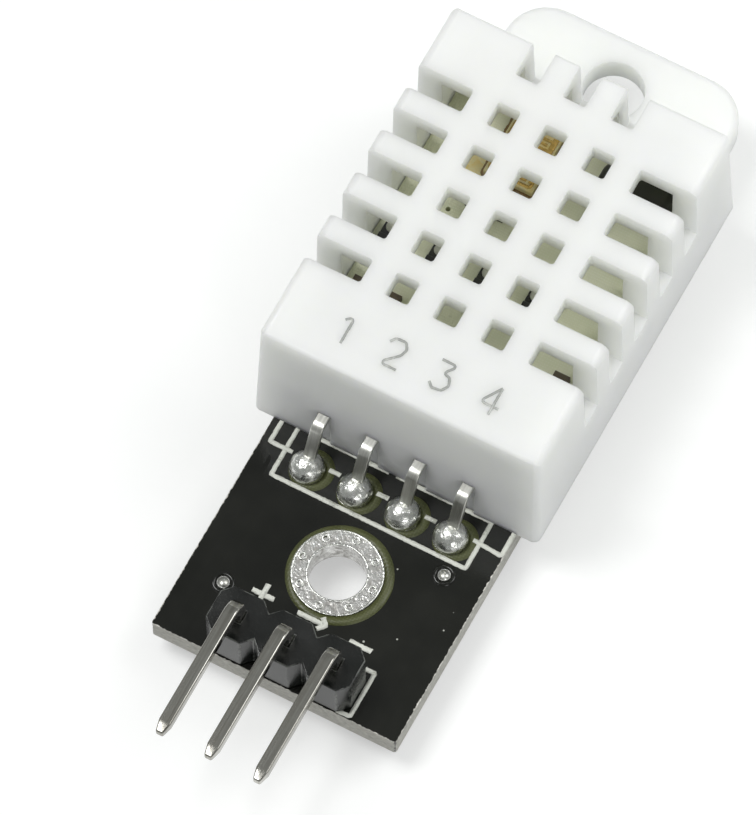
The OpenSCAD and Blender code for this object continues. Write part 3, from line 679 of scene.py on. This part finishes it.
def grow(name, tree, points, edges, finish, slot, **sizes):
    """Runs a geometry tree on host points and edges and keeps the plain result."""
    host_mesh = bpy.data.meshes.new(name)
    host_mesh.from_pydata(points, edges, [])
    host = bpy.data.objects.new(name + "_host", host_mesh)
    bpy.context.scene.collection.objects.link(host)
    grown = host.modifiers.new("grown", "NODES")
    grown.node_group = tree
    values = {label.replace("_", " "): value for label, value in sizes.items()}
    values["Material"] = finish
    for item in tree.interface.items_tree:
        if item.in_out == "INPUT" and item.name in values:
            grown[item.identifier] = values[item.name]
    graph = bpy.context.evaluated_depsgraph_get()
    mesh = bpy.data.meshes.new_from_object(host.evaluated_get(graph), depsgraph=graph)
    host.modifiers.remove(grown)
    bpy.data.objects.remove(host)
    bpy.data.meshes.remove(host_mesh)
    shape = bmesh.new()
    shape.from_mesh(mesh)
    bmesh.ops.remove_doubles(shape, verts=shape.verts, dist=MERGE)
    bmesh.ops.recalc_face_normals(shape, faces=shape.faces)
    shape.to_mesh(mesh)
    shape.free()
    new_piece(name, mesh, [finish])


STROKE_STEP = 0.003
STROKE_LEVELS = 3


def lines(name, strokes, height, finish, slot, **sizes):
    """Flat lines along open strokes, where crossing strokes lie at slightly other heights."""
    points, edges = [], []
    for number, stroke in enumerate(strokes):
        first = len(points)
        level = height + STROKE_STEP * (number % STROKE_LEVELS)
        points += [(x, y, level) for x, y in stroke]
        edges += [(first + i, first + i + 1) for i in range(len(stroke) - 1)]
    grow(name, LINES, points, edges, finish, slot, **sizes)


# Housing, header and pins
rounded_piece("housing_shell", ["vented_housing"], width=0.12, segments=3,
              materials=[WHITE])
rounded_piece("header_block", ["header_base"], width=0.07, segments=2,
              materials=[BLACK])
for number in range(1, 4):
    rounded_piece(f"header_pin_{number}_tin", [f"header_pin_{number}"], width=0.09, segments=3,
                  materials=[TIN])
for number in range(1, 5):
    rounded_piece(f"sensor_pin_{number}_tin", [f"sensor_pin_{number}"], width=0.05, segments=2,
                  materials=[DULL_TIN])


# Chip parts with tinned ends
END_SHARE = 0.24
CHIP_EDGE = 0.03


def chip_parts(name, node, body):
    """Chip parts whose end faces are tinned, told apart by their place on each part."""
    shape = merged_copy(node)
    round_edges(shape, CHIP_EDGE, segments=2)
    left = set(shape.faces)
    while left:
        part, queue = set(), [next(iter(left))]
        while queue:
            face = queue.pop()
            if face in part:
                continue
            part.add(face)
            queue += [other for edge in face.edges for other in edge.link_faces]
        left -= part
        corners = [v.co for face in part for v in face.verts]
        low = Vector(map(min, zip(*corners)))
        high = Vector(map(max, zip(*corners)))
        size = high - low
        axis = 0 if size.x > size.y else 1
        for face in part:
            along = (face.calc_center_median()[axis] - low[axis]) / size[axis]
            face.material_index = int(min(along, 1 - along) < END_SHARE)
    new_piece(name, mesh_from(shape, name), [body, TIN], [node])


for name, node, body in (
    ("data_resistors", "inner_resistors", GLAZE),
    ("element_resistor", "bias_resistor", GLAZE),
    ("supply_capacitors", "inner_capacitors", CERAMIC),
    ("board_resistor", "pull_up_resistor", GLAZE),
    ("board_capacitor", "filter_capacitor", CERAMIC),
):
    chip_parts(name, node, body)


# Round pale terminals that bite into the black glaze of the four resistors
ROW_LOW, ROW_HIGH = place_of("inner_resistors")
ROW_Y = (ROW_LOW.y + ROW_HIGH.y) / 2
GLAZE_BAND = 0.14
TERMINAL_R = 0.3
FIRST_TERMINAL = ROW_LOW.x + GLAZE_BAND + TERMINAL_R
grow("resistor_terminals", RINGS,
     [(FIRST_TERMINAL + ROW_STEP * i, ROW_Y, ROW_HIGH.z) for i in range(4)], [],
     PALE, "chip_resistor", Inner=0.0, Outer=TERMINAL_R, Thickness=0.04, Sides=24)

# Solder joints of the sensor's pins
DOME_R = 0.86
DOME_TOP = JOINT_HIGH.z
CONE_LOW = JOINT_LOW.z
DOME_SIDES = 40
DOME_STEPS = 9
DOME_FIRST_ANGLE, DOME_TURN = -12, 90
DOME_LIP, DOME_FOOT_IN, PAD_CLEAR = 0.12, 0.06, 0.03
DOME_CROWN_R, CROWN_DROP = 0.26, 0.03
CONE_TIP_R, CONE_FOOT_R, CONE_CURVE = 0.24, 0.8, 1.6
FOOT_DROP = 0.05
JOINT_PLAY = 0.02
SWELLS_PER_TURN, SWELLS_PER_MM = 0.9, 1.1
JOINT_APART = 7.3
UNEVEN = 0.035


def joint_outline():
    """Radius and height from the cone's tip, through the hole, to the dome's top."""
    low, high = JOINT_PLAY, BOARD_TOP + PAD_CLEAR
    rise = DOME_TOP - high
    in_hole = HOLE_R - JOINT_PLAY
    outline = [(0.0, CONE_LOW), (CONE_TIP_R, CONE_LOW)]
    outline += [(CONE_TIP_R + (CONE_FOOT_R - CONE_TIP_R) * t ** CONE_CURVE,
                 CONE_LOW + (low - FOOT_DROP - CONE_LOW) * t)
                for t in (0.25, 0.5, 0.75, 1.0)]
    outline += [(in_hole, low), (in_hole, BOARD_TOP - JOINT_PLAY),
                (DOME_R - DOME_FOOT_IN, high)]
    for i in range(DOME_STEPS):
        angle = math.radians(DOME_FIRST_ANGLE + DOME_TURN * i / DOME_STEPS)
        outline.append((DOME_R * math.cos(angle),
                        high + DOME_LIP + (rise - DOME_LIP) * math.sin(angle)))
    outline += [(DOME_CROWN_R, DOME_TOP - CROWN_DROP), (0.0, DOME_TOP)]
    return outline


def solder_joints():
    """Four turned joints, each a little uneven in its own way."""
    shape = bmesh.new()
    outline = joint_outline()
    for number, x in enumerate(PIN_XS):
        centre = Vector((x, PAD_ROW_Y, 0))
        rings = []
        for radius, z in outline:
            if radius == 0:
                rings.append([shape.verts.new(centre + Vector((0, 0, z)))])
                continue
            ring = []
            for side in range(DOME_SIDES):
                angle = math.tau * side / DOME_SIDES
                out = Vector((math.cos(angle), math.sin(angle), 0))
                swell = 0
                if z > BOARD_TOP + FOOT_DROP:
                    spot = Vector((number * JOINT_APART, 0, z * SWELLS_PER_MM))
                    swell = noise.noise(out * SWELLS_PER_TURN + spot)
                ring.append(shape.verts.new(centre + out * radius * (1 + UNEVEN * swell)
                                            + Vector((0, 0, z))))
            rings.append(ring)
        for lower, upper in zip(rings, rings[1:]):
            for side in range(DOME_SIDES):
                after = (side + 1) % DOME_SIDES
                around = (lower[side % len(lower)], lower[after % len(lower)],
                          upper[after % len(upper)], upper[side % len(upper)])
                shape.faces.new([v for i, v in enumerate(around) if v not in around[:i]])
    bmesh.ops.recalc_face_normals(shape, faces=shape.faces)
    new_piece("sensor_pin_joints", mesh_from(shape, "joints", SOLDER_SHARP), [SOLDER],
              ["sensor_pin_solder"])


solder_joints()


# Openings in the mask, printed a little off the pads and the ring
OPEN_LIFT = 0.012
OPEN_SHIFT = Vector((0.24, 0.04))
RING_SHIFT = Vector((0.15, -0.05))
PAD_OPENING_R = 1.10
RING_OPENING_R = RING_R + 0.36
UNDER_PAD, UNDER_RING = 0.25, 0.12


def openings():
    """Bare laminate seen round the pads and round the mounting ring, on both faces."""
    for face, z in (("upper", BOARD_TOP), ("lower", BOARD_LOW.z)):
        pads = [(x + OPEN_SHIFT.x, PAD_ROW_Y + OPEN_SHIFT.y, z) for x in PIN_XS]
        if face == "lower":
            pads += [(x + OPEN_SHIFT.x, HEADER_ROW_Y + OPEN_SHIFT.y, z) for x in HEADER_XS]
        grow(f"{face}_pad_openings", RINGS, pads, [], OLIVE, "inner_laminate",
             Inner=PAD_R - UNDER_PAD, Outer=PAD_OPENING_R, Thickness=2 * OPEN_LIFT)
        grow(f"{face}_ring_opening", RINGS, [(RING_SHIFT.x, RING_SHIFT.y, z)], [], OLIVE,
             "inner_laminate", Inner=RING_R - UNDER_RING, Outer=RING_OPENING_R,
             Thickness=2 * OPEN_LIFT, Sides=RING_SIDES)


openings()

# Beads of solder round the ring's holes, and the two vias
VIA_SINK = 0.04
RING_RIM, HOLE_RIM = 0.1, 0.09
grow("stitch_rims", RIMS, [(0, 0, PLATED_TOP)], [], SOLDER, "solder",
     Circle=STITCH_CIRCLE, Count=STITCHES, Rim=STITCH_R, Bead=0.06)
grow("ring_rims", RINGS, [(0, 0, PLATED_TOP)], [], SOLDER, "solder",
     Inner=RING_R - RING_RIM, Outer=RING_R, Thickness=0.04, Sides=RING_SIDES)
grow("hole_rim", RINGS, [(0, 0, PLATED_TOP)], [], SOLDER, "solder",
     Inner=MOUNT_HOLE_R, Outer=MOUNT_HOLE_R + HOLE_RIM, Thickness=0.05, Sides=RING_SIDES)
grow("via_collars", RINGS, [(v.x, v.y, BOARD_TOP) for v in VIAS], [], BOARD, "black_laminate",
     Inner=0.36, Outer=0.55, Thickness=0.05)
grow("via_tin", RINGS, [(v.x, v.y, PLATED_TOP - VIA_SINK) for v in VIAS], [], DULL_TIN,
     "tinned_metal", Inner=0.0, Outer=0.27, Thickness=0.1)


# Ink on the board
INK_LIFT = 0.012
BOX_X, BOX_LOW, BOX_HIGH = 5.15, 3.0, 4.47
TUCKED_UNDER = 1.5
UNDER_HOUSING = HOUSING_LOW.y + TUCKED_UNDER
OUTER_LEFT, OUTER_RIGHT = -6.0, 6.33
RIGHT_SLIP = 0.12
INSIDE_BOX = 0.35
EDGE_LINE_Y = 5.67
EDGE_LINES = ((-4.2, -0.3), (0.1, BOX_X))
DASH = 0.6
pad_box = [
    [(-BOX_X, UNDER_HOUSING), (-BOX_X, BOX_LOW), (BOX_X, BOX_LOW), (BOX_X, UNDER_HOUSING)],
    [(-BOX_X + INSIDE_BOX, BOX_HIGH), (OUTER_LEFT, BOX_HIGH), (OUTER_LEFT, UNDER_HOUSING)],
    [(BOX_X - INSIDE_BOX, BOX_HIGH), (OUTER_RIGHT, BOX_HIGH - RIGHT_SLIP),
     (OUTER_RIGHT, UNDER_HOUSING)],
]
pad_box += [[(start, EDGE_LINE_Y), (end, EDGE_LINE_Y)] for start, end in EDGE_LINES]
pad_box += [[(x - DASH / 2, BOX_HIGH), (x + DASH / 2, BOX_HIGH)]
            for x in (-PIN_PITCH, 0, PIN_PITCH)]
BRACKET_X, BRACKET_TOP, BRACKET_LOW = 3.95, -3.66, -6.12
TOP_ARM, LOW_ARM = 0.5, 0.7
header_box = [[(BRACKET_X - TOP_ARM, BRACKET_TOP), (BRACKET_X, BRACKET_TOP),
               (BRACKET_X, BRACKET_LOW), (BRACKET_X - LOW_ARM, BRACKET_LOW)]]
lines("pad_lines", pad_box + header_box, BOARD_TOP + INK_LIFT, INK, "white_plastic",
      Width=0.22, Thickness=0.03, Corner=0.05, Step=0.09, Ragged=0.014)

PLUS = Vector((-2.55, -2.58))
MINUS = Vector((2.71, -2.77))
ARROW = Vector((0.05, -2.62))
ARROW_HALF, ARROW_HEAD = 0.75, 0.32
ARM = 0.58
signs = [
    [(PLUS.x - ARM, PLUS.y), (PLUS.x + ARM, PLUS.y)],
    [(PLUS.x, PLUS.y - ARM), (PLUS.x, PLUS.y + ARM)],
    [(MINUS.x - ARM, MINUS.y), (MINUS.x + ARM, MINUS.y)],
    [(ARROW.x - ARROW_HALF, ARROW.y), (ARROW.x + ARROW_HALF, ARROW.y)],
    [(ARROW.x + ARROW_HALF - ARROW_HEAD, ARROW.y + ARROW_HEAD), (ARROW.x + ARROW_HALF, ARROW.y),
     (ARROW.x + ARROW_HALF - ARROW_HEAD, ARROW.y - ARROW_HEAD)],
]
lines("terminal_signs", signs, BOARD_TOP + INK_LIFT, INK, "white_plastic",
      Width=0.25, Thickness=0.03, Corner=0.03, Step=0.1, Ragged=0.02)

# Plain pin numbers on the housing, in strokes on a field that is 0.6 wide and 1 high
DIGITS = (
    [(0.12, 0.78), (0.36, 1.0), (0.36, 0.0)],
    [(0.0, 0.78), (0.12, 0.96), (0.46, 0.98), (0.6, 0.76), (0.52, 0.5), (0.0, 0.0), (0.62, 0.0)],
    [(0.02, 1.0), (0.58, 1.0), (0.26, 0.6), (0.52, 0.54), (0.62, 0.28), (0.48, 0.04),
     (0.16, 0.0), (0.0, 0.16)],
    [(0.44, 1.0), (0.0, 0.3), (0.64, 0.3)],
    [(0.44, 0.0), (0.44, 0.98)],
)
DIGIT_MIDDLE = 0.3
DIGIT_HIGH = 1.5
DIGIT_LOW_Y = 7.35
DIGIT_SINK = 0.004
numbers = [[(x + (u - DIGIT_MIDDLE) * DIGIT_HIGH, DIGIT_LOW_Y + v * DIGIT_HIGH)
            for u, v in digit]
           for x, digit in zip(PIN_XS + PIN_XS[-1:], DIGITS)]
lines("pin_numbers", numbers, FACE_Z - DIGIT_SINK, GREY_INK, "black_plastic",
      Width=0.13, Thickness=0.016, Corner=0.12, Step=0.09, Ragged=0.008)

# Sensing element: its chip, a gold line on top that is a painted highlight along the chip's edge,
# and a brown line round the foot that is glue and painted shade
CHIP_LOW, CHIP_HIGH = place_of("humidity_element")
CARRIER_TOP = place_of("element_carrier")[1].z
HIGHLIGHT_FRAME_INSET, GLUE_AND_SHADE_INSET = 0.2, -0.07
rounded_piece("sensing_chip", ["humidity_element"], width=0.07, segments=3,
              materials=[AMBER])


def rectangle(low, high, inset):
    """A closed stroke inside the two corners."""
    left, front, right, back = low.x + inset, low.y + inset, high.x - inset, high.y - inset
    middle = (left + right) / 2
    return [(middle, front), (right, front), (right, back), (left, back), (left, front),
            (middle, front)]


# Gold line inset on the chip's top: a painted highlight along its edge
lines("chip_frame_highlight", [rectangle(CHIP_LOW, CHIP_HIGH, HIGHLIGHT_FRAME_INSET)], CHIP_HIGH.z, GOLD,
      "gold_plate", Width=0.16, Thickness=0.05, Corner=0.1, Step=0.1, Ragged=0.01)
# Brown line round the chip's foot: glue, and painted shade under the chip's edge
lines("chip_glue_and_shade", [rectangle(CHIP_LOW, CHIP_HIGH, GLUE_AND_SHADE_INSET)], CARRIER_TOP, GLUE_AND_SHADE,
      "amber_film", Width=0.2, Thickness=0.16, Corner=0.2, Step=0.1, Ragged=0.03)

# Finishes of the solids that stay
for finish, nodes in (
    (WHITE, ("back_cover",)),
    (KHAKI, ("sensor_board",)),
    (AMBER, ("element_carrier",)),
    (GOLD, ("electrode_combs",)),
    (EPOXY, ("thermistor", "controller_chip")),
    (TIN, ("controller_leads",)),
    (BOARD, ("breakout_board",)),
    (PLATED, ("hole_plating", "board_vias", "sensor_pads", "header_pads", "chip_pads")),
    (SOLDER, ("inner_pin_solder", "header_solder")),
):
    for node in nodes:
        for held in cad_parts[node].material_slots:
            held.link = "OBJECT"
            held.material = finish


# Floor, lamps and camera
FLOOR_GAP = 0.02
FLOOR_Z = min(BOARD_LOW.z, place_of("header_pin_1")[0].z) - FLOOR_GAP
FLOOR_SIZE = 900.0
FLOOR_DARK, FLOOR_LIGHT = (0.60, 0.61, 0.605), (0.64, 0.645, 0.64)
FLOOR_GLOW = 0.42


def floor():
    """Pale table that the camera sees as white and that keeps the shadow."""
    shape = bmesh.new()
    bmesh.ops.create_grid(shape, x_segments=4, y_segments=4, size=FLOOR_SIZE / 2)
    bmesh.ops.translate(shape, vec=(0, 0, FLOOR_Z), verts=shape.verts)
    bmesh.ops.scale(shape, vec=(MM,) * 3, verts=shape.verts)
    mesh = bpy.data.meshes.new("table")
    shape.to_mesh(mesh)
    shape.free()
    made = bpy.data.materials.new("pale table")
    made.use_nodes = True
    tree = made.node_tree
    tree.nodes.clear()
    clouds = node_in(tree, "ShaderNodeTexNoise",
                     {"Vector": millimetre_place(tree), "Scale": 0.02, "Detail": 2.0})
    tone = blend_colours(tree, clouds.outputs[0], FLOOR_DARK, FLOOR_LIGHT)
    matt = node_in(tree, "ShaderNodeBsdfDiffuse", {"Color": tone})
    path = node_in(tree, "ShaderNodeLightPath").outputs
    seen = maths(tree, "MAXIMUM", path["Is Camera Ray"],
                 maths(tree, "MAXIMUM", path["Is Glossy Ray"], path["Is Transmission Ray"]))
    glow = node_in(tree, "ShaderNodeEmission", {"Color": (1, 1, 1, 1)})
    tree.links.new(maths(tree, "MULTIPLY", seen, FLOOR_GLOW), glow.inputs["Strength"])
    both = node_in(tree, "ShaderNodeAddShader", {0: matt.outputs[0], 1: glow.outputs[0]})
    output = node_in(tree, "ShaderNodeOutputMaterial", {"Surface": both.outputs[0]})
    output.is_active_output = True
    mesh.materials.append(made)
    table = bpy.data.objects.new("table", mesh)
    bpy.context.scene.collection.objects.link(table)


def heading(azimuth, elevation):
    """Away from the object. Azimuth 0 is in front and 90 at the right."""
    az, el = math.radians(azimuth), math.radians(elevation)
    return Vector((math.sin(az) * math.cos(el), -math.cos(az) * math.cos(el), math.sin(el)))


def lamp(name, azimuth, elevation, distance, width, power):
    """A square soft lamp aimed at the point that the camera looks at."""
    data = bpy.data.lights.new(name, "AREA")
    data.size = width * MM
    data.energy = power
    away = heading(azimuth, elevation)
    made = bpy.data.objects.new(name, data)
    made.location = (LOOK_AT + away * distance) * MM
    made.rotation_mode = "QUATERNION"
    made.rotation_quaternion = away.to_track_quat("Z", "Y")
    bpy.context.scene.collection.objects.link(made)


LOOK_AT = Vector((-2.36, 8.384, BOARD_TOP))
CAMERA_AZIMUTH, CAMERA_ELEVATION, CAMERA_ROLL = 29.297, 65.242, -1.145
CAMERA_DISTANCE = 483.377
LENS = 454.75
SENSOR_WIDTH = 36
NEAREST_SEEN = 0.01
SKY_COLOUR, SKY_STRENGTH = (0.97, 1.0, 0.98, 1), 0.30

floor()
lamp("top_lamp", azimuth=285, elevation=66, distance=420, width=190, power=0.96)
lamp("back_lamp", azimuth=132, elevation=48, distance=160, width=100, power=0.10)
lamp("front_lamp", azimuth=48, elevation=24, distance=420, width=130, power=0.22)

world = bpy.data.worlds.new("studio")
bpy.context.scene.world = world
world.use_nodes = True
sky = world.node_tree.nodes["Background"].inputs
sky["Color"].default_value = SKY_COLOUR
sky["Strength"].default_value = SKY_STRENGTH


def camera():
    """The photograph's pinhole view."""
    roll = math.radians(CAMERA_ROLL)
    back = heading(CAMERA_AZIMUTH, CAMERA_ELEVATION)
    level = (-back).cross(Vector((0, 0, 1))).normalized()
    upright = level.cross(-back)
    right = level * math.cos(roll) + upright * math.sin(roll)
    turned = Matrix((right, right.cross(-back), back)).transposed().to_4x4()
    turned.translation = (LOOK_AT + back * CAMERA_DISTANCE) * MM
    data = bpy.data.cameras.new("camera")
    data.lens = LENS
    data.sensor_width = SENSOR_WIDTH
    data.clip_start = NEAREST_SEEN
    made = bpy.data.objects.new("camera", data)
    made.matrix_world = turned
    bpy.context.scene.collection.objects.link(made)
    bpy.context.scene.camera = made


camera()
bpy.context.scene.view_settings.view_transform = "Standard"
